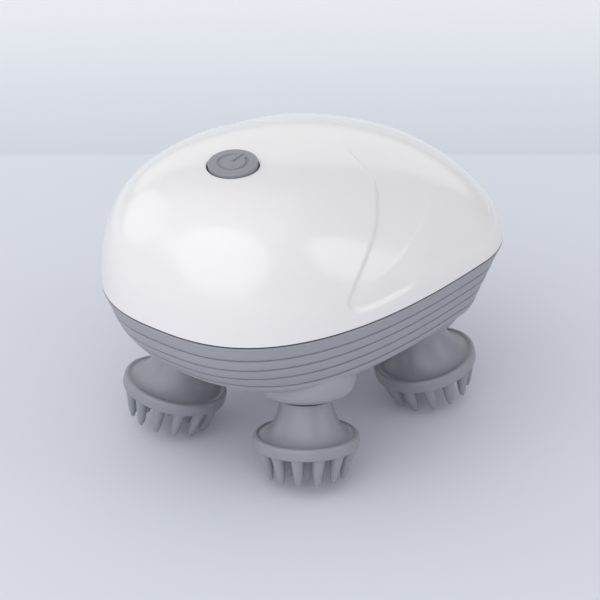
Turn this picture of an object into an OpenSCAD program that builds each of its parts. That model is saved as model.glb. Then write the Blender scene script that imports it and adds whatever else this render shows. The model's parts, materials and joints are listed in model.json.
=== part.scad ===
// Hand-held scalp massager: an egg-shaped body on four splayed, driven massage heads.
// +Z is up, the floor is Z = 0, the front (button end) is -Y. Millimetres.

/* [Body] */
// Length of the body, front to rear
body_length = 121.5; // [117:0.5:130]
// Width of the body at its widest place
body_width = 94.6; // [92:0.2:102]
// Height of the seam between cover and housing above the floor
seam_z = 54.7; // [54.2:0.1:57]
// Height of the cover above the seam
dome_height = 37.2; // [35:0.2:44]
// Distance from the rear end to the widest place
widest_from_rear = 36; // [30:1:44]
// Distance from the front end to the highest place
apex_from_front = 36.5; // [32:0.5:42]
// Wall thickness of cover and housing
wall = 2.2; // [1.8:0.1:2.6]
// Thickness of the gasket in the seam
gasket_t = 0.6; // [0.4:0.1:1]

/* [Housing ribs] */
// Depth of the bowl below the seam
bowl_depth = 22.6; // [22:0.1:24]
// Inward lean of the housing wall, degrees
wall_lean = 21.3; // [18:0.1:24]
// Number of grooves round the housing
groove_count = 4; // [2:1:4]
// Distance from the seam to the first groove
groove_first = 5.25; // [4:0.05:6]
// Distance between grooves
groove_step = 3.95; // [3.4:0.05:4]
// Width of a groove
groove_w = 0.9; // [0.5:0.1:1.4]
// Depth of a groove
groove_depth = 0.7; // [0.4:0.1:1.1]
// How much further in the housing is drawn at its front end, low down
nose_in = 5.3; // [3:0.1:6]
// Depth below the seam where the front end begins to draw in
nose_start = 8; // [6:0.5:9]

/* [Massage heads] */
// Distance between left and right heads at the rim
head_pitch_x = 48; // [46:0.5:50]
// Distance between front and rear heads at the rim
head_pitch_y = 56.4; // [55:0.2:60]
// Outward splay of each head, degrees
splay = 12; // [10:0.5:13]
// Diameter of a head at its rim
head_d = 29.8; // [27:0.2:31]
// Height of the rounded rim
rim_h = 3.7; // [3:0.1:4.5]
// Height of a head from rim to neck top
head_h = 13.8; // [13.2:0.1:14.4]
// Diameter of the neck
neck_d = 14.6; // [14:0.2:16]
// Gap between neck and leg
neck_gap = 0.5; // [0.3:0.1:1]
// Pins in the outer ring
outer_pins = 13; // [10:1:14]
// Pins in the inner ring
inner_pins = 7; // [5:1:8]
// Length of a pin below the rim
pin_length = 8.9; // [7:0.1:11]
// Diameter of a pin at its root
pin_root_d = 3.8; // [3:0.1:4.4]
// Diameter of a pin at its tip
pin_tip_d = 1.8; // [1.4:0.1:2.4]
// Radius of the ring of outer pin tips
tip_ring_r = 10.8; // [9.5:0.1:11.5]
// Inward lean of the outer pins, degrees
pin_lean = 11; // [6:1:13]

/* [Gear train] */
// Place of the gear train's centre behind the body's middle
train_y = 1.8; // [1:0.1:3]
// Height of the middle of the head gears' mesh
mesh_z = 42.5; // [42:0.1:43.5]
// Teeth of the centre gear
centre_teeth = 32; // [30:2:34]
// Teeth of each head gear
head_teeth = 24; // [22:2:26]
// Face width of the head gears
mesh_w = 6; // [4:0.5:6.5]
// Teeth of the large gear above the centre gear
drive_teeth = 48; // [44:1:50]
// Teeth of the idler's small gear
idler_small = 12; // [12:1:14]
// Module of the idler's small gear and the large gear it drives
drive_module = 0.75; // [0.7:0.05:0.8]
// Teeth of the idler's large gear
idler_large = 44; // [40:1:46]
// Teeth of the motor pinion
motor_teeth = 12; // [12:1:14]
// Module of the motor pinion and the idler's large gear
motor_module = 0.5; // [0.45:0.05:0.55]
// Diameter of a head spindle
spindle_d = 6; // [5:0.5:6.5]
// Diameter of the centre gear's axle
centre_axle_d = 5; // [4:0.5:6]
// Diameter of the idler's axle
idler_axle_d = 2; // [1.5:0.5:2.5]
// Height of the underside of the gear plate
plate_z = 54; // [53.8:0.1:54.8]
// Thickness of the gear plate
plate_t = 2; // [1.6:0.1:2.4]

/* [Power button] */
// Diameter of the power button
button_d = 13.8; // [12:0.2:16]
// Place of the button ahead of the body's middle
button_ahead = 28; // [26:0.5:31]
// How far the button stands above the cover
button_proud = 0.9; // [0.6:0.1:1.2]
// How much further the button leans forward than the cover under it, degrees
button_lean = 3; // [0:0.5:3.5]
// Travel of the button
button_travel = 0.5; // [0.3:0.1:0.6]
// Gap round the button
button_gap = 0.35; // [0.3:0.05:0.5]

/* [Motor and battery] */
// Diameter of the motor
motor_d = 24.4; // [22:0.2:25]
// Length of the motor's steel can
motor_can_h = 20; // [19:0.5:21]
// Diameter of the motor shaft
motor_shaft_d = 2; // [1.5:0.5:2.5]
// Diameter of the battery cell
cell_d = 14; // [12:0.5:14.5]
// Length of the battery cell
cell_length = 49; // [44:1:52]
// Place of the battery cell behind the body's middle
cell_y = 27; // [26:0.5:28]

/* [Charging port] */
// Height of the charging port
port_z = 44.5; // [43:0.1:46]
// Diameter of the bore for the charging pin
port_bore_d = 2.5; // [2:0.1:3.5]
// Depth of the bore for the charging pin
port_bore_depth = 9.5; // [8:0.5:11]
// Diameter of the port's flap
flap_d = 12.4; // [11:0.2:14]
// Thickness of the port's flap
flap_t = 1.5; // [1.2:0.1:1.8]

/* [Fits] */
// Running clearance of a shaft in its bush
running = 0.05; // [0.02:0.01:0.08]
// Clearance between a bush, cell or plug and its seat
seat_gap = 0.05; // [0.03:0.01:0.1]
// Clearance between parts that move past each other
moving_gap = 0.3; // [0.3:0.05:0.5]
// Screw shank diameter
screw_d = 2.6; // [2:0.1:3]
// Screw head diameter
screw_head_d = 4.8; // [4:0.1:5.4]
// Height of a screw head
screw_head_h = 1.8; // [1.2:0.1:2.2]

/* [Hidden] */
$fn = 48;

// Colours, as the photographed object shows them
white = [0.93, 0.93, 0.94];
grey = [0.56, 0.58, 0.63];
dark = [0.2, 0.2, 0.22];
steel = [0.72, 0.73, 0.75];
nylon = [0.9, 0.88, 0.8];
bronze = [0.72, 0.52, 0.3];
board_green = [0.1, 0.4, 0.25];

front_y = -body_length / 2;
rear_y = body_length / 2;
widest_y = rear_y - widest_from_rear;
apex_y = front_y + apex_from_front;
ring_points = 72;
eps = 0.01;

// ---------- body outline and dome, by formula ----------

// Superellipse fall-off from 1 at t = 0 to 0 at t = 1
function fall(t, p, q) = pow(max(0, 1 - pow(min(1, abs(t)), p)), 1 / q);

// Exponents of the outline ahead of and behind its widest place
front_power = 2.57;
rear_power = 2;

// Half width of the outline at y, drawn in by off
function half_width(y, off) = let(
    t = y < widest_y ? (widest_y - y) / (widest_y - front_y - off)
                     : (y - widest_y) / (rear_y - widest_y - off),
    p = y < widest_y ? front_power : rear_power)
    (body_width / 2 - off) * fall(t, p, p);

// Height of the cover's ridge above the seam at y, drawn in by off
function ridge(y, off) =
    (dome_height - off) * (y < apex_y ? fall((apex_y - y) / (apex_y - front_y - off), 2.43, 2.82)
                                      : fall((y - apex_y) / (rear_y - apex_y - off), 1.7, 1.91));

// Exponent of the cross-section: fuller at the front than at the rear
function section_power(y) = 2.69 - (y - front_y) / body_length;

// Height of the cover's outer face at x, y
function dome_z(x, y) = seam_z + ridge(y, 0) * fall(x / half_width(y, 0), section_power(y), section_power(y));

// Signed power, for superellipse points
function spow(v, p) = sign(v) * pow(abs(v), p);

// Point i of the outline, and the outline drawn in by off along its normal
function edge_point(a) = let(p = sin(a) < 0 ? front_power : rear_power,
    b = sin(a) < 0 ? widest_y - front_y : rear_y - widest_y)
    [body_width / 2 * spow(cos(a), 2 / p), widest_y + b * spow(sin(a), 2 / p)];
function edge_normal(a) = let(d = edge_point(a + 0.5) - edge_point(a - 0.5)) [d[1], -d[0]] / norm(d);
// Share of the front end's extra inset at a place whose outward normal is m
function front_share(m) = let(t = min(1, max(0, (-m[1] - 0.3) / 0.7))) t * t * (3 - 2 * t);
function outline(off, n = ring_points, nose = 0) =
    [for (i = [0:n - 1]) let(a = 360 * (i + 0.5) / n, m = edge_normal(a))
        edge_point(a) - (off + nose * front_share(m)) * m];

// Closed solid through equal rings of points, first ring at the top
module loft(rings) {
    n = len(rings[0]);
    m = len(rings);
    points = [for (r = rings) for (p = r) p];
    sides = [for (j = [0:m - 2]) for (i = [0:n - 1]) let(k = (i + 1) % n)
        for (f = [[j * n + i, j * n + k, (j + 1) * n + i],
                  [j * n + k, (j + 1) * n + k, (j + 1) * n + i]]) f];
    top = [[for (i = [n - 1:-1:0]) i]];
    bottom = [[for (i = [0:n - 1]) (m - 1) * n + i]];
    polyhedron(points, concat(sides, top, bottom), convexity = 6);
}

// Extra inset of the front end at depth d below the seam
function nose_at(d) = nose_in * pow(min(1, max(0, (d - nose_start) / (bowl_depth - 2 - nose_start))), 1.7);
function ring_at(off, d) = [for (p = outline(off, ring_points, nose_at(d))) [p[0], p[1], seam_z - d]];

// Solid dome drawn in by off; its base is at z = base
dome_rows = 34;
dome_cols = 24;
module dome(off, base) {
    // rows from the front tip to the rear tip, closer together near the tips
    ys = [for (k = [0:dome_rows]) front_y + off + eps + (body_length - 2 * off - 2 * eps) * (1 - cos(180 * k / dome_rows)) / 2];
    rows = [for (k = [1:dome_rows - 1]) let(y = ys[k], w = half_width(y, off), h = ridge(y, off), q = 2 / section_power(y))
        [for (j = [0:dome_cols]) let(a = 180 * j / dome_cols)
            [w * spow(cos(a), q), y, (j == 0 || j == dome_cols) ? base : seam_z + h * spow(sin(a), q)]]];
    n = dome_cols + 1;
    m = dome_rows - 1;
    points = concat([for (r = rows) for (p = r) p], [[0, ys[0], base], [0, ys[dome_rows], base]]);
    front_tip = n * m;
    rear_tip = n * m + 1;
    skin = [for (k = [0:m - 2]) for (j = [0:dome_cols - 1])
        for (f = [[k * n + j, k * n + j + 1, (k + 1) * n + j],
                  [k * n + j + 1, (k + 1) * n + j + 1, (k + 1) * n + j]]) f];
    base_strip = [for (k = [0:m - 2])
        for (f = [[k * n, (k + 1) * n, k * n + dome_cols],
                  [k * n + dome_cols, (k + 1) * n, (k + 1) * n + dome_cols]]) f];
    front_fan = [for (j = [0:dome_cols - 1]) [front_tip, j + 1, j]];
    rear_fan = [for (j = [0:dome_cols - 1]) [rear_tip, (m - 1) * n + j, (m - 1) * n + j + 1]];
    ends = [[front_tip, 0, dome_cols], [rear_tip, (m - 1) * n + dome_cols, (m - 1) * n]];
    polyhedron(points, concat(skin, base_strip, front_fan, rear_fan, ends), convexity = 6);
}

// ---------- frames and small helpers ----------

module ring(r_out, r_in, h) {
    difference() {
        cylinder(r = r_out, h = h);
        translate([0, 0, -1]) cylinder(r = r_in, h = h + 2);
    }
}

// Straight round bar from a to b
module bar(a, b, r) {
    d = b - a;
    translate(a) rotate([0, acos(d[2] / norm(d)), atan2(d[1], d[0])]) cylinder(r = r, h = norm(d), $fn = 16);
}

module screw(length) {
    cylinder(d = screw_d, h = length);
    translate([0, 0, -screw_head_h]) cylinder(d = screw_head_d, h = screw_head_h);
}

// Corners of the head layout: front right, front left, rear right, rear left
corners = [[1, -1], [-1, -1], [1, 1], [-1, 1]];
function head_xy(i) = [corners[i][0] * head_pitch_x / 2, corners[i][1] * head_pitch_y / 2];
function head_angle(i) = atan2(head_xy(i)[1], head_xy(i)[0]);

// The rim's height puts the lowest pin tip on the floor
pin_drop = pin_length - pin_tip_d / 2;
rim_z = pin_drop * cos(splay) + tip_ring_r * sin(splay) + pin_tip_d / 2;

// Frame of head i: origin at the middle of the rim's lower edge, +Z up its spindle
module at_head(i) {
    translate([head_xy(i)[0], train_y + head_xy(i)[1], rim_z])
        rotate([0, 0, head_angle(i)]) rotate([0, -splay, 0]) children();
}

// Distance along a spindle from the rim to height z
function along(z) = (z - rim_z) / cos(splay);

// ---------- gear geometry ----------

head_radius = norm([head_pitch_x, head_pitch_y]) / 2;
mesh_radius = head_radius - (mesh_z - rim_z) * tan(splay);
mesh_module = 2 * mesh_radius / (centre_teeth + head_teeth / cos(splay));
centre_r = mesh_module * centre_teeth / 2;
head_gear_r = mesh_module * head_teeth / 2;
head_gear_s = along(mesh_z + head_gear_r * sin(splay));

pressure_angle = 20;
backlash = 0.24;
function involute_part(a) = tan(a) * 180 / PI - a;

// Half the angle that a tooth takes at radius r
function tooth_half(n, m, r) = let(rp = m * n / 2, rb = rp * cos(pressure_angle))
    (PI * m / 2 - backlash * m) / (2 * rp) * 180 / PI + involute_part(pressure_angle)
    - involute_part(acos(min(1, rb / max(r, rb))));

module gear_outline(n, m) {
    rp = m * n / 2;
    radii = [rp - 1.15 * m, rp - 0.45 * m, rp, rp + 0.45 * m, rp + 0.85 * m];
    k = len(radii);
    polygon([for (i = [0:n - 1]) for (side = [-1, 1]) for (j = [0:k - 1])
        let(r = radii[side < 0 ? j : k - 1 - j], a = 360 * i / n + side * tooth_half(n, m, r))
        [r * cos(a), r * sin(a)]]);
}

module spur(n, m, h) {
    linear_extrude(height = h) gear_outline(n, m);
}

// Turn that sets gear 2 in mesh with gear 1, which has a tooth at its own angle turn1;
// the line from gear 1 to gear 2 is at angle phi
function mesh_turn(n1, n2, phi, turn1 = 0) = phi + 180 + (phi - turn1) * n1 / n2 - 180 / n2;

drive_z = mesh_z + mesh_w / 2 + 1.1;
drive_h = 3;
drive_r = drive_module * drive_teeth / 2;
idler_y = train_y - drive_r - drive_module * idler_small / 2;
idler_small_h = drive_h + 1;
idler_large_z = drive_z + idler_small_h;
idler_large_h = 2.5;
motor_y = idler_y + motor_module * (idler_large + motor_teeth) / 2;
idler_turn = mesh_turn(drive_teeth, idler_small, -90);
pinion_turn = mesh_turn(idler_large, motor_teeth, 90, idler_turn);

// ---------- stations along a spindle, from the rim ----------

neck_top = head_h;
leg_end = neck_top + neck_gap;
seal_s = leg_end + 0.4;
seal_h = 1.8;
bush_s = seal_s + seal_h;
bush_h = 8;
bush_r = spindle_d / 2 + 2;
clip_s = bush_s + bush_h + moving_gap;
clip_h = 0.8;
gear_hub_s = clip_s + clip_h;
upper_bush_h = 4.4;
upper_bush_r = spindle_d / 2 + 1.5;
plate_boss_r = upper_bush_r + 1.5;
// the top of the boss stays just under the top of the gear plate
upper_bush_s = along(plate_z + plate_t) - plate_boss_r * tan(splay) - 0.1 - upper_bush_h;
spindle_s0 = 3.4;
spindle_top = upper_bush_s + upper_bush_h;

// ---------- lower housing ----------

floor_t = wall;
bowl_z = seam_z - bowl_depth;
floor_z = bowl_z + floor_t;
housing_top = seam_z - gasket_t / 2;
cover_base = seam_z + gasket_t / 2;
strip_d = groove_first + (groove_count - 1) * groove_step + groove_w / 2;
function lean(d) = d * tan(wall_lean);
curve_in = 9.3;

// [depth below the seam, inset] down the outside of the housing
housing_profile = concat(
    [[gasket_t / 2, 0]],
    [for (g = [0:groove_count - 1]) let(d = groove_first + g * groove_step)
        for (p = [[d - groove_w / 2, 0], [d - groove_w / 4, groove_depth],
                  [d + groove_w / 4, groove_depth], [d + groove_w / 2, 0]])
            [p[0], lean(p[0]) + p[1]]],
    [for (a = [15:15:90]) [strip_d + (bowl_depth - strip_d) * sin(a), lean(strip_d) + curve_in * (1 - cos(a))]]);

// The inside of the housing, a wall thickness in
inner_profile = concat(
    [[-1, wall], [gasket_t / 2, wall]],
    [for (a = [0:22.5:90]) [strip_d - 1 + (bowl_depth - floor_t - strip_d + 1) * sin(a),
                            lean(strip_d) + wall + (curve_in - 0.6) * (1 - cos(a))]]);

module housing_solid() {
    loft([for (p = housing_profile) ring_at(p[1], p[0])]);
}

// Leg boss: a rounded cup round each spindle, its mouth in the bowl
leg_r = neck_d / 2 + 0.2;
leg_foot = [[0, 0], [leg_r, 0], [leg_r + 1.5, 0.5], [leg_r + 3, 1], [leg_r + 4.2, 1.45], [leg_r + 5.2, 2.1],
    [leg_r + 6, 3.2], [leg_r + 6.5, 4.7], [leg_r + 6.85, 6.6], [leg_r + 7, 9.4], [0, 9.4]];
module leg_boss() {
    translate([0, 0, leg_end]) rotate_extrude($fn = 64) polygon(leg_foot);
}

screw_spots = [[13, -42], [-13, -42], [13, 45], [-13, 45]];
column_r = 4;
screw_seat_z = seam_z - 9;
cover_screw_l = 15;
post_r = 3.5;
post_spots = [[0, train_y - 40], [7.3, train_y + 37.7], [-7.3, train_y + 37.7], [33, train_y], [-33, train_y]];
plate_screw_l = 9;

// Frame of the charging port: origin on the housing's rear face, +Z straight out of it
port_d = seam_z - port_z;
module at_port() {
    translate([0, rear_y - lean(port_d), port_z]) rotate([-90 - wall_lean, 0, 0]) children();
}
flap_r = flap_d / 2;
socket_r = 4;
port_face = -flap_t - 0.3;

module lower_housing() {
    color(grey) difference() {
        union() {
            difference() {
                housing_solid();
                loft([for (p = inner_profile) ring_at(p[1], p[0])]);
            }
            for (i = [0:3]) at_head(i) {
                leg_boss();
                translate([0, 0, leg_end + 5]) cylinder(r = bush_r + 2, h = bush_s + bush_h - leg_end - 5);
            }
            intersection() {
                housing_solid();
                union() {
                    for (p = screw_spots) translate([p[0], p[1], bowl_z]) cylinder(r = column_r, h = housing_top - bowl_z - 1);
                    for (p = post_spots) translate([p[0], p[1], bowl_z]) cylinder(r = post_r, h = plate_z - bowl_z);
                    for (y = [train_y, idler_y]) translate([0, y, bowl_z]) cylinder(r = 5, h = floor_t + 1.8);
                    intersection() {
                        at_port() translate([0, 0, -12]) cylinder(r = flap_r + 1.6, h = 14);
                        translate([-flap_d, 0, 0]) cube([2 * flap_d, body_length, plate_z - moving_gap]);
                    }
                }
            }
            // tongue that centres the cover
            translate([0, 0, housing_top - 3]) linear_extrude(height = 4.6) difference() {
                polygon(outline(wall + 0.5));
                polygon(outline(wall + 1.7));
            }
        }
        for (i = [0:3]) at_head(i) {
            translate([0, 0, seal_s]) cylinder(r = bush_r + seat_gap, h = 30);
            cylinder(r = spindle_d / 2 + moving_gap, h = 30);
        }
        for (p = screw_spots) translate([p[0], p[1], 0]) {
            translate([0, 0, bowl_z - 1]) cylinder(d = screw_head_d + 1, h = screw_seat_z - bowl_z + 1);
            cylinder(d = screw_d + 0.4, h = seam_z + 5);
        }
        for (p = post_spots) translate([p[0], p[1], plate_z - plate_screw_l]) cylinder(d = screw_d + 2 * seat_gap, h = plate_screw_l + 1);
        translate([0, train_y, floor_z - 0.6]) cylinder(d = centre_axle_d + 2 * seat_gap, h = 10);
        translate([0, idler_y, floor_z - 0.6]) cylinder(d = idler_axle_d + 2 * seat_gap, h = 10);
        // the port: a round pocket for the flap, the socket's seat behind it and the hinge slot
        at_port() {
            translate([0, 0, port_face]) cylinder(r = flap_r + 0.2, h = 5);
            translate([0, 0, port_face - port_bore_depth - 3]) cylinder(r = socket_r + seat_gap, h = 20);
            translate([-flap_r, flap_r - 1, port_face]) cube([flap_d, 2.6, 5]);
        }
    }
}

// ---------- top cover ----------

button_y = -button_ahead;
button_z = dome_z(0, button_y);
button_tilt = atan((dome_z(0, button_y + 4) - dome_z(0, button_y - 4)) / 8) + button_lean;
module at_button() {
    translate([0, button_y, button_z]) rotate([button_tilt, 0, 0]) children();
}
button_r = button_d / 2;
collar_depth = 6;
board_drop = 11;
membrane_r = button_r + button_gap + 1.2;
board_post_r = 2.4;
board_screw_x = membrane_r + board_post_r + 0.15;

module top_cover() {
    color(white) difference() {
        union() {
            difference() {
                dome(0, cover_base);
                dome(wall, cover_base - 1);
            }
            intersection() {
                dome(0, cover_base);
                union() {
                    for (p = screw_spots) translate([p[0], p[1], cover_base + 0.2]) cylinder(r = column_r, h = 60);
                    at_button() {
                        translate([0, 0, -collar_depth]) cylinder(r = button_r + button_gap + 1.4, h = collar_depth + 4);
                        for (s = [-1, 1]) translate([s * board_screw_x, 0, -board_drop]) cylinder(r = board_post_r, h = board_drop);
                    }
                }
            }
        }
        for (p = screw_spots) translate([p[0], p[1], cover_base - 1])
            cylinder(d = screw_d + 2 * seat_gap, h = screw_seat_z + cover_screw_l - cover_base + 2);
        at_button() {
            translate([0, 0, -collar_depth - 6]) cylinder(r = button_r + button_gap, h = collar_depth + 12);
            for (s = [-1, 1]) translate([s * board_screw_x, 0, -board_drop - 1]) cylinder(d = 1.6 + 2 * seat_gap, h = 6);
        }
    }
}

module seam_gasket() {
    color(dark) translate([0, 0, housing_top]) linear_extrude(height = gasket_t) difference() {
        polygon(outline(0.45));
        polygon(outline(wall));
    }
}

// ---------- power button ----------

cap_t = 3.4;
stem_r = 1.9;
membrane_z = -collar_depth;
membrane_t = 0.8;
flange_top = membrane_z - membrane_t - moving_gap;
plunger_top = flange_top - 0.7;
switch_top = plunger_top - button_travel - moving_gap;
switch_side = 6;

module power_button() {
    color(grey) at_button() difference() {
        union() {
            translate([0, 0, button_proud - cap_t]) cylinder(r = button_r, h = cap_t - 0.5, $fn = 72);
            translate([0, 0, button_proud - 0.5]) cylinder(r1 = button_r, r2 = button_r - 0.7, h = 0.5, $fn = 72);
            translate([0, 0, plunger_top]) cylinder(r = stem_r, h = button_proud - cap_t - plunger_top + 0.5);
            translate([0, 0, plunger_top]) cylinder(r = stem_r + 1.3, h = flange_top - plunger_top);
        }
        // engraved power sign: an open ring and a bar
        translate([0, 0, button_proud - 0.25]) {
            difference() {
                cylinder(r = 3.7, h = 1);
                translate([0, 0, -1]) cylinder(r = 3.2, h = 3);
                translate([-1.2, 0, -1]) cube([2.4, 6, 3]);
            }
            translate([-0.25, 0.3, 0]) cube([0.5, 4.6, 1]);
        }
    }
}

module switch_plunger() {
    color(dark) at_button() translate([0, 0, switch_top - 1.2]) cylinder(r = 1.7, h = plunger_top - switch_top + 1.2);
}

module button_membrane() {
    color(dark) at_button() translate([0, 0, membrane_z - membrane_t]) ring(membrane_r, stem_r + moving_gap, membrane_t);
}

module tact_switch() {
    color(dark) at_button() translate([0, 0, -board_drop]) difference() {
        translate([-switch_side / 2, -switch_side / 2, 0]) cube([switch_side, switch_side, board_drop + switch_top]);
        translate([0, 0, 0.4]) cylinder(r = 1.7 + running, h = 5);
    }
}

board_t = 1.2;
board_half = 6;
module button_board() {
    color(board_green) at_button() translate([0, 0, -board_drop - board_t]) difference() {
        translate([-board_screw_x - board_post_r, -board_half, 0]) cube([2 * (board_screw_x + board_post_r), 2 * board_half, board_t]);
        for (s = [-1, 1]) translate([s * board_screw_x, 0, -1]) cylinder(d = 1.8, h = 4);
    }
}

module button_board_screws() {
    color(steel) at_button() for (s = [-1, 1]) translate([s * board_screw_x, 0, -board_drop - board_t]) {
        cylinder(d = 1.6, h = board_t + 4);
        translate([0, 0, -1.1]) cylinder(d = 3, h = 1.1);
    }
}

// ---------- gear plate and fixed axles ----------

plate_inset = 9;
plate_top = plate_z + plate_t;
motor_nose_r = 3.2;
motor_screw_x = 8;
board_y = 12;
board_w = cell_length - 3;
module gear_plate() {
    color(dark) difference() {
        union() {
            translate([0, 0, plate_z]) linear_extrude(height = plate_t) polygon(outline(plate_inset, 48));
            for (i = [0:3]) at_head(i) translate([0, 0, upper_bush_s]) cylinder(r = plate_boss_r, h = upper_bush_h);
            // slotted posts that hold the main board
            for (s = [-1, 1]) translate([s * (board_w / 2 - 2) - 2, board_y - 2.4, plate_z]) cube([4, 6, plate_t + 6]);
        }
        for (i = [0:3]) at_head(i) translate([0, 0, upper_bush_s - 8]) cylinder(r = upper_bush_r + seat_gap, h = 20);
        for (p = post_spots) translate([p[0], p[1], plate_z - 1]) cylinder(d = screw_d + 0.4, h = 5);
        for (p = screw_spots) translate([p[0], p[1], plate_z - 1]) cylinder(r = column_r + 0.5, h = 5);
        translate([0, train_y, plate_z - 1]) cylinder(d = centre_axle_d + 2 * seat_gap, h = 5);
        translate([0, idler_y, plate_z - 1]) cylinder(d = idler_axle_d + 2 * seat_gap, h = 5);
        translate([0, motor_y, plate_z - 1]) cylinder(r = motor_nose_r + seat_gap, h = 5);
        for (s = [-1, 1]) translate([s * motor_screw_x, motor_y, plate_z - 1]) cylinder(d = 2.4, h = 5);
        translate([-30, board_y - seat_gap, plate_top]) cube([60, board_t + 2 * seat_gap, 20]);
    }
}

module centre_axle() {
    color(steel) translate([0, train_y, floor_z - 0.6]) cylinder(d = centre_axle_d, h = plate_top - floor_z + 0.4);
}

module idler_axle() {
    color(steel) translate([0, idler_y, floor_z - 0.6]) cylinder(d = idler_axle_d, h = plate_top - floor_z + 0.4);
}

boss_top = floor_z + 1.8;

module centre_gear() {
    color(nylon) translate([0, train_y, 0]) difference() {
        union() {
            translate([0, 0, mesh_z - mesh_w / 2 - 0.5]) spur(centre_teeth, mesh_module, mesh_w + 1);
            translate([0, 0, mesh_z]) cylinder(r = drive_r - 3, h = drive_z - mesh_z);
            translate([0, 0, drive_z]) spur(drive_teeth, drive_module, drive_h);
            translate([0, 0, boss_top + moving_gap]) cylinder(r = centre_axle_d / 2 + 2, h = plate_z - boss_top - 2 * moving_gap);
        }
        cylinder(r = centre_axle_d / 2 + running, h = 100);
        // lightening groove in the large gear
        translate([0, 0, drive_z + drive_h - 1]) ring(drive_r - 2.5, centre_axle_d / 2 + 3.5, 5);
    }
}

module idler_gear() {
    color(nylon) translate([0, idler_y, 0]) difference() {
        union() {
            translate([0, 0, drive_z]) rotate([0, 0, idler_turn]) spur(idler_small, drive_module, idler_small_h + 1);
            translate([0, 0, idler_large_z]) rotate([0, 0, idler_turn]) spur(idler_large, motor_module, idler_large_h);
            translate([0, 0, boss_top + moving_gap]) cylinder(r = idler_axle_d / 2 + 1.2, h = plate_z - boss_top - 2 * moving_gap);
        }
        cylinder(r = idler_axle_d / 2 + running, h = 100);
    }
}

// ---------- motor ----------

can_r = motor_d / 2;
can_wall = 1;
can_top = plate_top + motor_can_h;
motor_axis = [0, motor_y, 0];

module motor_can() {
    color(steel) translate([0, motor_y, plate_top]) difference() {
        union() {
            cylinder(r = can_r, h = motor_can_h, $fn = 64);
            translate([0, 0, -1.6]) cylinder(r = motor_nose_r, h = 2);
        }
        translate([0, 0, can_wall]) cylinder(r = can_r - can_wall, h = motor_can_h);
        translate([0, 0, -3]) cylinder(r = motor_shaft_d / 2 + running, h = 6);
        for (s = [-1, 1]) translate([s * motor_screw_x, 0, -1]) cylinder(d = 2 + 2 * seat_gap, h = 3);
    }
}

module motor_magnets() {
    color(dark) translate([0, motor_y, plate_top + can_wall + 2.5]) intersection() {
        ring(can_r - can_wall, can_r - can_wall - 2, motor_can_h - 7);
        for (s = [-1, 1]) translate([s * 12 - 6, -8, 0]) cube([12, 16, motor_can_h - 7]);
    }
}

module motor_end_cap() {
    color(dark) translate([0, motor_y, can_top]) difference() {
        union() {
            cylinder(r = can_r, h = 1.2);
            translate([0, 0, -2]) ring(can_r - can_wall - seat_gap, can_r - can_wall - 2, 3);
            cylinder(r = 3.2, h = 3.2);
            for (s = [-1, 1]) translate([s * 8 - 1.2, -0.3, 1]) cube([2.4, 0.6, 4]);
        }
        translate([0, 0, -1]) cylinder(r = motor_shaft_d / 2 + running, h = 4);
    }
}

module motor_armature() {
    color(bronze) translate([0, motor_y, plate_top + can_wall + 3]) difference() {
        union() {
            cylinder(r = can_r - can_wall - 2.5, h = 13);
            cylinder(r = 3.5, h = motor_can_h - can_wall - 3.4);
        }
        for (a = [0:120:240]) rotate([0, 0, a + 60]) translate([can_r - can_wall - 5, 0, -1]) cylinder(r = 2.1, h = 15);
        translate([0, 0, -1]) cylinder(d = motor_shaft_d, h = 40);
    }
}

shaft_low = idler_large_z - 0.6;
module motor_shaft() {
    color(steel) translate([0, motor_y, shaft_low]) cylinder(d = motor_shaft_d, h = can_top + 2 - shaft_low);
}

module motor_pinion() {
    color(bronze) translate([0, motor_y, idler_large_z - 0.2]) difference() {
        rotate([0, 0, pinion_turn]) spur(motor_teeth, motor_module, idler_large_h + 0.4);
        translate([0, 0, -1]) cylinder(d = motor_shaft_d, h = 10);
    }
}

module motor_screws() {
    color(steel) for (s = [-1, 1]) translate([s * motor_screw_x, motor_y, plate_z - 1]) {
        cylinder(d = 3.6, h = 1);
        cylinder(d = 2, h = 1 + plate_t + can_wall);
    }
}

// ---------- legs: seals, bushes, spindles, gears and clips ----------

module leg_seals() {
    color(dark) for (i = [0:3]) at_head(i) translate([0, 0, seal_s]) ring(bush_r, spindle_d / 2 + running, seal_h);
}

module leg_bushes() {
    color(bronze) for (i = [0:3]) at_head(i) translate([0, 0, bush_s]) ring(bush_r, spindle_d / 2 + running, bush_h);
}

module plate_bushes() {
    color(bronze) for (i = [0:3]) at_head(i) translate([0, 0, upper_bush_s]) ring(upper_bush_r, spindle_d / 2 + running, upper_bush_h);
}

module spindle(i) {
    color(steel) at_head(i) translate([0, 0, spindle_s0]) cylinder(d = spindle_d, h = spindle_top - spindle_s0);
}

module spindle_clip(i) {
    color(steel) at_head(i) translate([0, 0, clip_s]) difference() {
        ring(spindle_d / 2 + 1.6, spindle_d / 2, clip_h);
        translate([0, -1, -1]) cube([10, 2, 5]);
    }
}

// Head gear: its teeth taper towards the top, so that they mesh with the upright centre gear
module head_gear(i) {
    low_r = head_gear_r + mesh_w / 2 * tan(splay);
    high_r = head_gear_r - mesh_w / 2 * tan(splay);
    grow = low_r / head_gear_r;
    turn = 180 + head_angle(i) * centre_teeth / head_teeth - 180 / head_teeth;
    color(nylon) at_head(i) difference() {
        union() {
            translate([0, 0, head_gear_s - mesh_w / 2]) rotate([0, 0, turn])
                linear_extrude(height = mesh_w, scale = high_r / low_r) scale(grow) gear_outline(head_teeth, mesh_module);
            translate([0, 0, gear_hub_s]) cylinder(r = spindle_d / 2 + 2, h = upper_bush_s - moving_gap - gear_hub_s);
        }
        cylinder(d = spindle_d, h = 100);
    }
}

// ---------- massage heads ----------

rim_r = head_d / 2;
pad_r = rim_r - 0.9;
pad_seat = 1.6;

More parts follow.
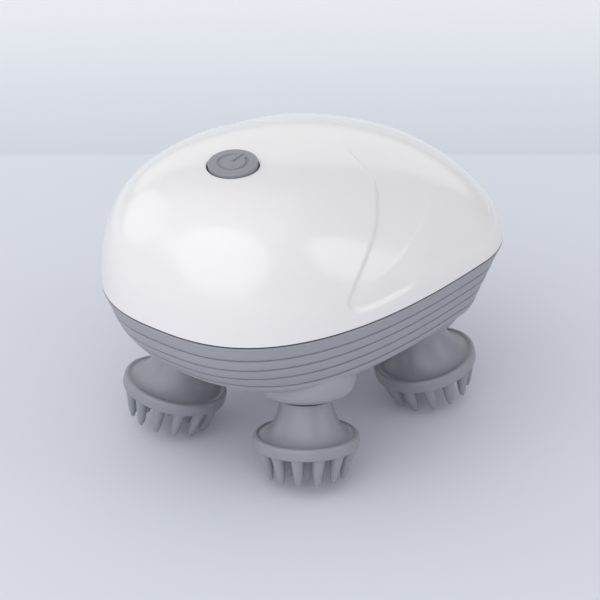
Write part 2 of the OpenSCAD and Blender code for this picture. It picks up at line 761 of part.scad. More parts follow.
// Half section of the hub: rounded rim, shallow dish and flared neck
hub_section = [[0, pad_seat], [pad_r + seat_gap, pad_seat], [pad_r + seat_gap, 0], [rim_r - 0.3, 0],
    [rim_r, 0.4], [rim_r, rim_h - 1.5], [rim_r - 0.3, rim_h - 0.6], [rim_r - 0.9, rim_h - 0.1],
    [rim_r - 1.5, rim_h], [rim_r - 2.2, rim_h - 0.3], [rim_r - 3, rim_h - 0.4],
    [neck_d / 2 + 3, rim_h + 0.3], [neck_d / 2 + 1.7, rim_h + 1.6], [neck_d / 2 + 0.8, rim_h + 3.4],
    [neck_d / 2 + 0.3, rim_h + 5.6], [neck_d / 2, neck_top - 1.6], [neck_d / 2, neck_top], [0, neck_top]];

module head_hub(i) {
    color(grey) at_head(i) difference() {
        rotate_extrude($fn = 72) polygon(hub_section);
        translate([0, 0, spindle_s0]) cylinder(d = spindle_d, h = 30);
        // ring-shaped hollow round the spindle seat, open to the pad
        translate([0, 0, pad_seat - 1]) ring(neck_d / 2 - 1.8, spindle_d / 2 + 1.6, neck_top - pad_seat - 1.5);
    }
}

// Turn of each pad, so that its pins stand as in the photograph
pad_turn = [180, 171, 177, 180];
inner_ring_r = 6.2;
inner_reach = 0.6;

module pin(length) {
    translate([0, 0, -length]) cylinder(d1 = pin_tip_d, d2 = pin_root_d, h = length + 0.1, $fn = 20);
    translate([0, 0, -length]) sphere(d = pin_tip_d, $fn = 20);
}

module pin_pad(i) {
    root_r = tip_ring_r + pin_drop * tan(pin_lean);
    color(grey) at_head(i) {
        translate([0, 0, -0.3]) cylinder(r = pad_r, h = pad_seat + 0.3, $fn = 72);
        rotate([0, 0, pad_turn[i]]) {
            for (k = [0:outer_pins - 1]) rotate([0, 0, 360 * k / outer_pins])
                translate([root_r, 0, 0]) rotate([0, pin_lean, 0]) pin(pin_drop / cos(pin_lean));
            for (k = [0:inner_pins - 1]) rotate([0, 0, 360 * (k + 0.5) / inner_pins])
                translate([inner_ring_r, 0, 0]) pin(pin_drop - inner_reach);
            pin(pin_drop - inner_reach);
        }
    }
}

// ---------- battery, boards and wires ----------

cell_r = cell_d / 2;
cradle_t = 1.5;
cell_z = plate_top + cradle_t + cell_r;
module battery_cell() {
    color([0.2, 0.35, 0.6]) translate([-cell_length / 2, cell_y, cell_z]) rotate([0, 90, 0]) {
        cylinder(r = cell_r, h = cell_length);
        translate([0, 0, cell_length]) cylinder(r = 2.8, h = 1);
    }
}

holder_l = cell_length + 5;
module battery_holder() {
    color(dark) translate([0, cell_y, plate_top]) difference() {
        translate([-holder_l / 2, -cell_r - cradle_t, 0]) cube([holder_l, cell_d + 2 * cradle_t, cell_r]);
        translate([-cell_length / 2 - 0.05, 0, cradle_t + cell_r]) rotate([0, 90, 0]) cylinder(r = cell_r + seat_gap, h = cell_length + 1.1);
    }
}

board_h = 22;
module main_board() {
    color(board_green) translate([-board_w / 2, board_y, plate_top]) cube([board_w, board_t, board_h]);
}

module board_parts() {
    color(dark) translate([0, board_y, plate_top]) {
        translate([-5, -1.6, 5]) cube([8, 1.6, 8]);
        translate([8, -2.6, 7]) rotate([-90, 0, 0]) translate([0, -3, 0]) cylinder(r = 3, h = 2.6);
        translate([-16, -3, 8]) cube([6, 3, 5]);
        translate([14, board_t, 8]) cube([6, 4, 4]);
    }
}

wire_r = 0.7;
module lead_wires() {
    terminal_z = can_top + 4.3;
    board_top = plate_top + board_h;
    board_back = board_y - wire_r;
    // just behind the rear edge of the button board
    button_wire_y = button_y + board_half * cos(button_tilt) + (board_drop + board_t) * sin(button_tilt) + wire_r;
    button_wire_z = button_z + board_half * sin(button_tilt) - board_drop - board_t / 2;
    color([0.75, 0.1, 0.1]) for (s = [-1, 1]) {
        // motor terminals, cell ends and button board to the main board
        bar([s * 8, motor_y + 0.3 + wire_r, terminal_z], [s * 8, board_back, board_top - 0.5], wire_r);
        bar([s * (cell_length / 2 + wire_r + 0.2), cell_y - cell_r + 1, cell_z + 1], [s * (board_w / 2 + wire_r), board_y + 0.6, board_top - 6], wire_r);
        bar([s * (board_screw_x - 0.5), button_wire_y, button_wire_z], [s * 17, board_back, board_top - 2], wire_r);
    }
}

// ---------- charging port ----------

module charge_socket() {
    color(dark) at_port() difference() {
        translate([0, 0, port_face - port_bore_depth - 1.5]) cylinder(r = socket_r, h = port_bore_depth + 1.5);
        translate([0, 0, port_face - port_bore_depth]) cylinder(d = port_bore_d, h = port_bore_depth + 1);
    }
}

hinge_r = 0.7;
hinge_y = flap_r + 0.4;
hinge_z = -0.8;
module port_flap() {
    color(grey) at_port() difference() {
        union() {
            translate([0, 0, -flap_t]) cylinder(r = flap_r, h = flap_t);
            translate([-3, hinge_y - 1.5, -flap_t]) cube([6, 1.5, flap_t]);
            translate([-3, hinge_y, hinge_z]) rotate([0, 90, 0]) cylinder(r = hinge_r, h = 6);
        }
        translate([-10, hinge_y, hinge_z]) rotate([0, 90, 0]) cylinder(r = 0.4 + running, h = 20);
    }
}

module flap_pin() {
    color(steel) at_port() translate([-flap_r, hinge_y, hinge_z]) rotate([0, 90, 0]) cylinder(r = 0.4, h = flap_d);
}

// ---------- fasteners ----------

module cover_screws() {
    color(steel) for (p = screw_spots) translate([p[0], p[1], screw_seat_z]) screw(cover_screw_l);
}

module plate_screws() {
    color(steel) for (p = post_spots) translate([p[0], p[1], plate_top]) rotate([180, 0, 0]) screw(plate_t + plate_screw_l - 1);
}

top_cover();
lower_housing();
seam_gasket();
gear_plate();
power_button();
switch_plunger();
button_membrane();
tact_switch();
button_board();
button_board_screws();
motor_can();
motor_magnets();
motor_end_cap();
motor_armature();
motor_shaft();
motor_pinion();
motor_screws();
idler_axle();
idler_gear();
centre_axle();
centre_gear();
leg_seals();
leg_bushes();
plate_bushes();
spindle(0);  // spindle_front_right
spindle(1);  // spindle_front_left
spindle(2);  // spindle_rear_right
spindle(3);  // spindle_rear_left
spindle_clip(0);  // spindle_clip_front_right
spindle_clip(1);  // spindle_clip_front_left
spindle_clip(2);  // spindle_clip_rear_right
spindle_clip(3);  // spindle_clip_rear_left
head_gear(0);  // head_gear_front_right
head_gear(1);  // head_gear_front_left
head_gear(2);  // head_gear_rear_right
head_gear(3);  // head_gear_rear_left
head_hub(0);  // head_hub_front_right
head_hub(1);  // head_hub_front_left
head_hub(2);  // head_hub_rear_right
head_hub(3);  // head_hub_rear_left
pin_pad(0);  // pin_pad_front_right
pin_pad(1);  // pin_pad_front_left
pin_pad(2);  // pin_pad_rear_right
pin_pad(3);  // pin_pad_rear_left
battery_cell();
battery_holder();
main_board();
board_parts();
lead_wires();
charge_socket();
port_flap();
flap_pin();
cover_screws();
plate_screws();
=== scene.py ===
"""The look of a hand-held scalp massager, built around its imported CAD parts."""
import json
import math

import bpy
import numpy as np
from mathutils import Matrix, Vector


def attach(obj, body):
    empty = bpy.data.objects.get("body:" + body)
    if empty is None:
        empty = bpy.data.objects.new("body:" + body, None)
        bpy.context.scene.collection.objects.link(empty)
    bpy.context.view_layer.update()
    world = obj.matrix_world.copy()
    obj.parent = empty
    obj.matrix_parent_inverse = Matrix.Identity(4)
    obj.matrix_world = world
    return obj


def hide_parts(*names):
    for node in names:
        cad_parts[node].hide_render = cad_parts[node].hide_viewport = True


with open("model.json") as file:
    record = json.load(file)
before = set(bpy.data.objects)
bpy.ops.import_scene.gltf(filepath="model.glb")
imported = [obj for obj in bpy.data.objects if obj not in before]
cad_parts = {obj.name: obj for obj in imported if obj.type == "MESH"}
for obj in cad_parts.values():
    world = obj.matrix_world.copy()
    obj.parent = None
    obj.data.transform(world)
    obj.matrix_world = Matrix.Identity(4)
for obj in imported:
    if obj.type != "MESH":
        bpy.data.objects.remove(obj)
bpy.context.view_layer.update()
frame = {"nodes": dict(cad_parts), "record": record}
nodes = frame["nodes"]
MM = 0.001

# ---------------- body formulas, in mm, as in the part's source
LENGTH, WIDTH, SEAM_Z, DOME_H = 121.5, 94.6, 54.7, 37.2
FRONT_Y, REAR_Y = -LENGTH / 2, LENGTH / 2
WIDEST_Y, APEX_Y = REAR_Y - 36.0, FRONT_Y + 36.5
WALL = 2.2
BOWL_DEPTH = 22.6
GASKET_T = 0.6
SHELL_BOTTOM = SEAM_Z + GASKET_T / 2
BUTTON_Y = -28.0
TRAIN_Y = 1.8
NOSE_IN, NOSE_FROM, NOSE_TO = 5.3, 8.0, BOWL_DEPTH - 2


def fall(t, p, q):
    return np.maximum(0.0, 1.0 - np.minimum(1.0, np.abs(t)) ** p) ** (1.0 / q)


def half_width(y, off=0.0):
    front = fall((WIDEST_Y - y) / (WIDEST_Y - FRONT_Y - off), 2.57, 2.57)
    rear = fall((y - WIDEST_Y) / (REAR_Y - WIDEST_Y - off), 2.0, 2.0)
    return (WIDTH / 2 - off) * np.where(y < WIDEST_Y, front, rear)


def ridge(y, off=0.0):
    front = fall((APEX_Y - y) / (APEX_Y - FRONT_Y - off), 2.43, 2.82)
    rear = fall((y - APEX_Y) / (REAR_Y - APEX_Y - off), 1.7, 1.91)
    return (DOME_H - off) * np.where(y < APEX_Y, front, rear)


def section_power(y):
    return 2.69 - (y - FRONT_Y) / LENGTH


def dome_z(x, y, off=0.0):
    m = section_power(y)
    return SEAM_Z + ridge(y, off) * fall(x / np.maximum(half_width(y, off), 1e-6), m, m)


def smooth(t):
    t = np.clip(t, 0, 1)
    return t * t * (3 - 2 * t)


def nose_at(d):
    """Extra inset of the housing's front end at depth d below the seam."""
    return NOSE_IN * np.clip((d - NOSE_FROM) / (NOSE_TO - NOSE_FROM), 0, 1) ** 1.7


def outline(off, count, nose=0.0):
    """Points of the seam's outline, drawn in by off along its normal, and by nose more at the front end."""
    def point(a):
        power = np.where(np.sin(a) < 0, 2.57, 2.0)
        reach = np.where(np.sin(a) < 0, WIDEST_Y - FRONT_Y, REAR_Y - WIDEST_Y)
        return np.stack([
            WIDTH / 2 * np.sign(np.cos(a)) * np.abs(np.cos(a)) ** (2 / power),
            WIDEST_Y + reach * np.sign(np.sin(a)) * np.abs(np.sin(a)) ** (2 / power)], axis=-1)
    a = (np.arange(count) + 0.5) * 2 * math.pi / count
    step = math.radians(0.5)
    d = point(a + step) - point(a - step)
    normal = np.stack([d[:, 1], -d[:, 0]], axis=-1) / np.linalg.norm(d, axis=1)[:, None]
    frontness = smooth((-normal[:, 1] - 0.3) / 0.7)
    return point(a) - (off + nose * frontness)[:, None] * normal


# ---------------- mesh helpers
def make_mesh(name, verts, faces, smooth_angle=35.0):
    """A mesh object from points in mm, smooth-shaded up to an angle."""
    mesh = bpy.data.meshes.new(name)
    points = [tuple(float(c) * MM for c in v) for v in verts]
    mesh.from_pydata(points, [], [tuple(int(i) for i in f) for f in faces])
    mesh.validate()
    mesh.update()
    obj = bpy.data.objects.new(name, mesh)
    bpy.context.scene.collection.objects.link(obj)
    shade(obj, smooth_angle)
    return obj


def shade(obj, smooth_angle):
    mesh = obj.data
    mesh.polygons.foreach_set("use_smooth", [True] * len(mesh.polygons))
    mesh.set_sharp_from_angle(angle=math.radians(smooth_angle))


def grid_faces(rows, cols, closed=True, base=0, flip=False):
    """Quads between rings of equal point counts."""
    out = []
    last = cols if closed else cols - 1
    for r in range(rows - 1):
        for c in range(last):
            row, after = base + r * cols, (c + 1) % cols
            a, b, e, f = row + c, row + after, row + cols + after, row + cols + c
            out.append((a, f, e, b) if flip else (a, b, e, f))
    return out


def add_ring(verts, points):
    """Adds points to a list and gives their numbers."""
    ids = list(range(len(verts), len(verts) + len(points)))
    verts += [tuple(p) for p in points]
    return ids


def bridge(ring, other, flip=False):
    """Quads between two closed rings of equal counts."""
    after, other_after = ring[1:] + ring[:1], other[1:] + other[:1]
    return list(zip(ring, other, other_after, after) if flip else zip(ring, after, other_after, other))


def rounded(profile, steps=5):
    """A smooth curve through (r, z) corners: each entry is (r, z, fillet radius)."""
    pts = [np.array(p[:2], float) for p in profile]
    radii = [p[2] if len(p) > 2 else 0.0 for p in profile]
    out = [pts[0]]
    for i in range(1, len(pts) - 1):
        a, b, c = pts[i - 1], pts[i], pts[i + 1]
        u, v = a - b, c - b
        lu, lv = np.linalg.norm(u), np.linalg.norm(v)
        if radii[i] <= 0 or lu < 1e-9 or lv < 1e-9:
            out.append(b)
            continue
        u, v = u / lu, v / lv
        half = math.acos(np.clip(np.dot(u, v), -1, 1)) / 2
        cut = min(radii[i] / math.tan(half), 0.49 * lu, 0.49 * lv) if half > 1e-3 else 0
        p0, p2 = b + u * cut, b + v * cut
        for k in range(steps + 1):
            t = k / steps
            out.append((1 - t) ** 2 * p0 + 2 * t * (1 - t) * b + t * t * p2)
    out.append(pts[-1])
    return np.array(out)


def curve_through(points, steps=8):
    """Catmull-Rom curve through (r, z) points."""
    p = np.array(points, float)
    p = np.vstack([2 * p[0] - p[1], p, 2 * p[-1] - p[-2]])
    out = []
    for i in range(1, len(p) - 2):
        for k in range(steps):
            t = k / steps
            out.append(0.5 * (2 * p[i] + (p[i + 1] - p[i - 1]) * t
                              + (2 * p[i - 1] - 5 * p[i] + 4 * p[i + 1] - p[i + 2]) * t * t
                              + (3 * p[i] - p[i - 1] - 3 * p[i + 1] + p[i + 2]) * t ** 3))
    out.append(p[-2])
    return np.array(out)


def lathe(profile, count=96):
    """Points and faces of (r, z) turned about Z. Ends at r = 0 close the form."""
    verts, faces = [], []
    ang = np.arange(count) * 2 * math.pi / count
    rings = []
    for r, z in profile:
        if r < 1e-6:
            rings.append([len(verts)])
            verts.append((0.0, 0.0, z))
        else:
            rings.append(list(range(len(verts), len(verts) + count)))
            verts += [(r * math.cos(a), r * math.sin(a), z) for a in ang]
    for lo, hi in zip(rings, rings[1:]):
        if len(lo) == 1 and len(hi) == 1:
            continue
        for c in range(count):
            n = (c + 1) % count
            if len(lo) == 1:
                faces.append((lo[0], hi[n], hi[c]))
            elif len(hi) == 1:
                faces.append((lo[c], lo[n], hi[0]))
            else:
                faces.append((lo[c], lo[n], hi[n], hi[c]))
    return verts, faces


def moved(verts, matrix):
    v = np.array(verts, float)
    return v @ matrix[:3, :3].T + matrix[:3, 3]


def rot(axis, degrees):
    a = math.radians(degrees)
    c, s = math.cos(a), math.sin(a)
    m = np.eye(4)
    i, j = {"x": (1, 2), "y": (2, 0), "z": (0, 1)}[axis]
    m[i, i], m[i, j], m[j, i], m[j, j] = c, -s, s, c
    return m


def shift(x, y, z):
    m = np.eye(4)
    m[:3, 3] = (x, y, z)
    return m


def join(parts):
    """One list of points and faces from several."""
    verts, faces = [], []
    for v, f in parts:
        base = len(verts)
        verts += [tuple(p) for p in v]
        faces += [tuple(i + base for i in face) for face in f]
    return verts, faces


# ---------------- materials
GRAIN_SCALE, GRAIN_HEIGHT = 900.0, 0.0001
MOTTLE_SCALE, SPREAD_SCALE = 60.0, 220.0


def noise_node(tree, scale, detail):
    """Noise in the object's own space."""
    coord = tree.nodes.new("ShaderNodeTexCoord")
    noise = tree.nodes.new("ShaderNodeTexNoise")
    noise.inputs["Scale"].default_value = scale
    noise.inputs["Detail"].default_value = detail
    tree.links.new(coord.outputs["Object"], noise.inputs["Vector"])
    return noise


def noise_range(tree, scale, detail, middle, spread):
    """Noise mapped to the range middle - spread to middle + spread."""
    ramp = tree.nodes.new("ShaderNodeMapRange")
    ramp.inputs["To Min"].default_value = middle - spread
    ramp.inputs["To Max"].default_value = middle + spread
    tree.links.new(noise_node(tree, scale, detail).outputs["Fac"], ramp.inputs["Value"])
    return ramp.outputs["Result"]


def plastic(name, color, roughness, metallic=0.0, coat=0.0, coat_roughness=0.1, coat_ior=1.5, specular=0.5,
            subsurface=0.0, mottle=0.0, spread=0.0, grain=0.0):
    """A plastic, rubber or metal: noise varies its colour (mottle), roughness (spread) and height (grain)."""
    mat = bpy.data.materials.new(name)
    mat.use_nodes = True
    tree = mat.node_tree
    bsdf = tree.nodes["Principled BSDF"]
    values = {"Base Color": (*color, 1.0), "Roughness": roughness, "Metallic": metallic,
              "Specular IOR Level": specular, "Coat Weight": coat, "Coat Roughness": coat_roughness,
              "Coat IOR": coat_ior}
    if subsurface:
        values.update({"Subsurface Weight": subsurface, "Subsurface Radius": (1.0, 1.0, 1.0),
                       "Subsurface Scale": 0.001})
    for socket, value in values.items():
        bsdf.inputs[socket].default_value = value
    if mottle:
        mix = tree.nodes.new("ShaderNodeVectorMath")
        mix.operation = "SCALE"
        mix.inputs[0].default_value = color
        tree.links.new(noise_range(tree, MOTTLE_SCALE, 2.0, 1.0, mottle), mix.inputs["Scale"])
        tree.links.new(mix.outputs["Vector"], bsdf.inputs["Base Color"])
    if spread:
        tree.links.new(noise_range(tree, SPREAD_SCALE, 3.0, roughness, spread), bsdf.inputs["Roughness"])
    if grain:
        bump = tree.nodes.new("ShaderNodeBump")
        bump.inputs["Strength"].default_value = grain
        bump.inputs["Distance"].default_value = GRAIN_HEIGHT
        tree.links.new(noise_node(tree, GRAIN_SCALE, 2.0).outputs["Fac"], bump.inputs["Height"])
        tree.links.new(bump.outputs["Normal"], bsdf.inputs["Normal"])
    return mat


def linear(*rgb):
    """Scene-linear colour of an sRGB colour given in 0 to 255."""
    shares = [c / 255 for c in rgb]
    return tuple(s / 12.92 if s <= 0.04045 else ((s + 0.055) / 1.055) ** 2.4 for s in shares)


LOOKS = {
    "cover_plastic": dict(color=linear(234, 232, 233), roughness=0.3, coat=1.0, coat_roughness=0.15,
                          coat_ior=1.62, spread=0.03, subsurface=0.05),
    "housing_plastic": dict(color=linear(156, 158, 165), roughness=0.42, spread=0.04, grain=0.12,
                            mottle=0.03),
    "button_plastic": dict(color=linear(143, 146, 153), roughness=0.38, spread=0.04, grain=0.1, mottle=0.02),
    "head_plastic": dict(color=linear(142, 145, 153), roughness=0.38, spread=0.04, grain=0.08, mottle=0.03,
                         specular=0.8),
    "pad_silicone": dict(color=linear(148, 151, 159), roughness=0.4, spread=0.05, grain=0.08, mottle=0.03),
    "gasket_rubber": dict(color=linear(52, 54, 60), roughness=0.7, spread=0.05, grain=0.2),
    "frame_plastic": dict(color=linear(60, 62, 66), roughness=0.5, spread=0.05, grain=0.3, mottle=0.05),
    "gear_plastic": dict(color=linear(232, 228, 214), roughness=0.35, spread=0.05, mottle=0.03),
    "steel": dict(color=(0.6, 0.6, 0.62), roughness=0.28, metallic=1.0, spread=0.08, grain=0.1, mottle=0.04),
    "bearing_bronze": dict(color=(0.55, 0.38, 0.2), roughness=0.4, metallic=1.0, spread=0.1, grain=0.4,
                           mottle=0.1),
    "magnet": dict(color=(0.08, 0.08, 0.085), roughness=0.6, spread=0.1, grain=0.5, mottle=0.1),
    "winding_copper": dict(color=(0.6, 0.27, 0.1), roughness=0.3, metallic=1.0, spread=0.08, grain=0.6,
                           mottle=0.1),
    "circuit_board": dict(color=(0.03, 0.2, 0.09), roughness=0.35, coat=0.4, spread=0.05, mottle=0.15),
    "chip_plastic": dict(color=(0.03, 0.03, 0.032), roughness=0.45, spread=0.06, grain=0.3, mottle=0.08),
    "cell_sleeve": dict(color=(0.06, 0.2, 0.5), roughness=0.25, coat=0.5, spread=0.04, mottle=0.05),
    "wire_sleeve": dict(color=(0.55, 0.03, 0.03), roughness=0.4, spread=0.05, mottle=0.05),
}
MATS = {name: plastic(name, **look) for name, look in LOOKS.items()}


def paint(obj, slot_name):
    obj.data.materials.clear()
    obj.data.materials.append(MATS[slot_name])


SLOT_OF = {s["node"]: s["material_slot"] for s in frame["record"]["subparts"]}
for node_name, node_obj in nodes.items():
    paint(node_obj, SLOT_OF[node_name])


def finish_piece(obj, slot_name, body, *replaced):
    """Gives a piece its material and body, and hides the CAD nodes that it stands for."""
    paint(obj, slot_name)
    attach(obj, body)
    if replaced:
        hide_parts(*replaced)
    return obj


# ---------------- camera, as fitted to the photograph, in mm
PHOTO_SIDE = 600
CAMERA_AZ, CAMERA_EL = math.radians(38.03), math.radians(29.27)
CAMERA_DISTANCE, FOCAL_PX = 997.0, 3505.2
BACK = np.array([math.sin(CAMERA_AZ) * math.cos(CAMERA_EL), -math.cos(CAMERA_AZ) * math.cos(CAMERA_EL),
                 math.sin(CAMERA_EL)])
RIGHT = np.array([math.cos(CAMERA_AZ), math.sin(CAMERA_AZ), 0.0])
UP = np.cross(BACK, RIGHT)
AHEAD = (-math.sin(CAMERA_AZ), math.cos(CAMERA_AZ), 0.0)
LOOK_AT = np.array([0.0, 1.75, 39.13]) + RIGHT * -0.14 + UP * -2.27
CAMERA_AT = LOOK_AT + BACK * CAMERA_DISTANCE

# ---------------- the crease of the cover
# Pixels of the photograph on the right side's crease, listed from the crown down to the end of its
# lower lip. The left side mirrors the right one.
CREASE_PIXELS = [
    (333, 138), (345, 148), (357, 158), (366, 167), (372, 175), (375.5, 182), (377.2, 192), (377.6, 202.7),
    (377.4, 214), (376, 226), (373.8, 237), (370.4, 246.7), (364.5, 262.8), (357.2, 280.4), (350.6, 296.5),
    (348.8, 303), (350.2, 308), (354, 311.2), (359, 312.2), (363, 311.8), (373.3, 308.4), (388, 301.5),
    (402.7, 293.6), (411.5, 288.8)]
# The rest is a guess, by place along the cover in mm and angle on its cross-section in degrees
CREASE_START = (8.3, 90)
CREASE_TAIL = [(8, 8), (22, 10.5), (32, 14), (35.7, 22), (40.4, 28.5), (47.5, 36.5), (52.8, 54), (54.5, 90)]
# The foot of the step lies this far outside the line that shows, in mm
CREASE_OUT = 0.42
CREASE_DEPTH, CREASE_REACH, CREASE_SPACING = 0.66, 24.0, 1.5
STEP_WIDTH, LIP_WIDENING, LIP_Z = 1.05, 0.75, 62.0
CROWN_X, CROWN_FADE = 6.0, 15.0
LIP_END_Y, LIP_FADE, STEP_END_Y = -10.0, 5.0, 12.0
TAIL_DEPTH, TAIL_WIDTH, TAIL_FROM_Y = 0.14, 0.75, 25.0


def section_angle(x, y, z):
    """Where on its cross-section a point of the dome lies: 0 at the seam, 90 degrees on the ridge."""
    m = section_power(y)
    w, h = np.maximum(half_width(y), 1e-6), np.maximum(ridge(y), 1e-6)
    return np.degrees(np.arctan2(np.maximum((z - SEAM_Z) / h, 0) ** (m / 2), (np.abs(x) / w) ** (m / 2)))


def inside_polygon(px, py, poly):
    inside = np.zeros(px.shape, bool)
    for (x0, y0), (x1, y1) in zip(poly, np.roll(poly, -1, axis=0)):
        hit = (y0 > py) != (y1 > py)
        inside ^= hit & (px < (x1 - x0) * (py - y0) / (y1 - y0 + 1e-12) + x0)
    return inside


def at_section(y, degrees):
    """Points of the dome by place along it and angle on its cross-section."""
    y, a = np.asarray(y, float), np.radians(degrees)
    power = 2 / section_power(y)
    return np.stack([half_width(y) * np.cos(a) ** power, y, SEAM_Z + ridge(y) * np.sin(a) ** power], axis=-1)


def dome_level(p):
    """Below 1 inside the dome and above 1 outside it, for points above the seam."""
    x, y, z = p[..., 0], p[..., 1], p[..., 2]
    m = section_power(y)
    w, h = np.maximum(half_width(y), 1e-6), np.maximum(ridge(y), 1e-6)
    return (np.abs(x) / w) ** m + (np.maximum(z - SEAM_Z, 0) / h) ** m


def dome_normals(p):
    """Outward normals of the dome at points p."""
    slope = np.stack([dome_level(p + step) - dome_level(p - step) for step in 0.01 * np.eye(3)], axis=-1)
    return slope / np.linalg.norm(slope, axis=-1, keepdims=True)


def seen_on_dome(px, py):
    """The point of the dome that shows at a pixel of the photograph."""
    half = PHOTO_SIDE / 2
    ray = (px - half) / FOCAL_PX * RIGHT + (half - py) / FOCAL_PX * UP - BACK
    steps = np.arange(CAMERA_DISTANCE - LENGTH, CAMERA_DISTANCE + LENGTH, 0.5)
    inside = dome_level(CAMERA_AT + steps[:, None] * ray) < 1
    far = steps[np.argmax(inside)]
    near = far - 0.5
    for _ in range(30):
        middle = (near + far) / 2
        if dome_level(CAMERA_AT + middle * ray) < 1:
            far = middle
        else:
            near = middle
    return CAMERA_AT + far * ray


def crease_line():
    """The right side's crease on the dome, from the middle of the crown to the middle of the rear.

    The foot of the step lies a little outside the line that shows, by CREASE_OUT.
    """
    seen = np.array([seen_on_dome(*pixel) for pixel in CREASE_PIXELS])
    outward = np.cross(np.gradient(seen, axis=0), dome_normals(seen))
    outward /= np.linalg.norm(outward, axis=1, keepdims=True)
    tail = [at_section(*place) for place in CREASE_TAIL]
    corners = np.vstack([at_section(*CREASE_START), seen + CREASE_OUT * outward, tail])
    line = []
    for a, b in zip(corners, corners[1:]):
        n = max(2, int(np.linalg.norm(b - a) / CREASE_SPACING))
        line += [a + (b - a) * k / n for k in range(n)]
    line = np.array(line + [corners[-1]])
    return at_section(line[:, 1], section_angle(*line.T))


CREASE = crease_line()


def nearest_on_crease(q):
    """Each point's distance to the crease, and the crease's point there."""
    best = np.full(len(q), 1e9)
    along = np.zeros(len(q))
    for i, (a, b) in enumerate(zip(CREASE, CREASE[1:])):
        d = b - a
        t = np.clip(((q - a) @ d) / (d @ d), 0, 1)
        gap = np.linalg.norm(q - a - t[:, None] * d, axis=1)
        along = np.where(gap < best, i + t, along)
        best = np.minimum(best, gap)
    return best, np.column_stack([np.interp(along, np.arange(len(CREASE)), CREASE[:, k]) for k in range(3)])


def within_crease(q):
    """Which points lie on the crown's side of the crease, as seen along the cover and round its section."""
    top = 95.0
    poly = np.column_stack([CREASE[:, 1], section_angle(*CREASE.T)])
    poly = np.vstack([poly, [poly[-1, 0], top], [poly[0, 0], top]])
    return inside_polygon(q[:, 1], np.minimum(section_angle(*q.T), top - 1), poly)


def crease_depth(p):
    """How far the surface is set back at points p, an N by 3 array in mm."""
    q = np.column_stack([np.abs(p[:, 0]), p[:, 1], p[:, 2]])
    best, near = nearest_on_crease(q)
    near_x, near_y, near_z = near.T
    width = STEP_WIDTH + LIP_WIDENING * smooth((LIP_Z - near_z) / 2.5)
    step = smooth(np.where(within_crease(q), best, 0) / width) * (1 - smooth(best / CREASE_REACH))
    # the step begins beyond the crown, turns into the lower lip and ends there; the tail is a shallow groove
    fade = 0.8 * best
    lip = 1 - smooth((near_y - LIP_END_Y + fade) / (LIP_FADE + 2 * fade))
    strength = np.where(near_z < LIP_Z, lip, smooth((near_x - CROWN_X) / CROWN_FADE))
    strength = np.where(near_y > STEP_END_Y, 0.0, strength)
    tail = smooth((near_x - 14) / 14) * smooth((near_z - 60.6) / 2.0)
    groove = TAIL_DEPTH * np.where(near_y > TAIL_FROM_Y, tail, 0.0) * np.exp(-(best / TAIL_WIDTH) ** 2)
    return CREASE_DEPTH * step * strength + groove


# ---------------- top cover: one smooth shell with the crease and the button's hole
ROWS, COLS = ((280, 300))


def dome_grid(rows, cols, off=0.0):
    """Points of the dome: rows from the front to the rear, columns from the right seam over to the left."""
    k = np.arange(1, rows) / rows
    y = FRONT_Y + off + (LENGTH - 2 * off) * (1 - np.cos(np.pi * k)) / 2
    a = np.pi * np.arange(cols + 1) / cols
    yy = np.repeat(y[:, None], cols + 1, axis=1)
    power = 2 / section_power(yy)
    c, s = np.cos(a)[None, :], np.sin(a)[None, :]
    x = half_width(yy, off) * np.sign(c) * np.abs(c) ** power
    z = SEAM_Z + ridge(yy, off) * np.abs(s) ** power
    return np.stack([x, yy, z], axis=-1)


def grid_normals(g):
    du = np.gradient(g, axis=0)
    dv = np.gradient(g, axis=1)
    n = np.cross(dv, du)
    n /= np.maximum(np.linalg.norm(n, axis=-1, keepdims=True), 1e-12)
    centre = np.array([0.0, 0.0, SEAM_Z - 10])
    n *= np.sign(np.sum(n * (g - centre), axis=-1, keepdims=True))
    return n


BUTTON_R, BUTTON_GAP = 6.9, 0.35
HOLE_R = BUTTON_R + BUTTON_GAP
HOLE_LIP, HOLE_ROOM = 0.35, 2.2
HOLE_LEDGE_Z, COLLAR_Z = -2.2, -6.0
BUTTON_LEAN, TILT_REACH = 3.0, 4.0
button_rise = float(ridge(np.array(BUTTON_Y + TILT_REACH)) - ridge(np.array(BUTTON_Y - TILT_REACH)))
button_tilt = math.degrees(math.atan(button_rise / (2 * TILT_REACH))) + BUTTON_LEAN
button_z = SEAM_Z + float(ridge(np.array(BUTTON_Y)))
AT_BUTTON = shift(0, BUTTON_Y, button_z) @ rot("x", button_tilt)


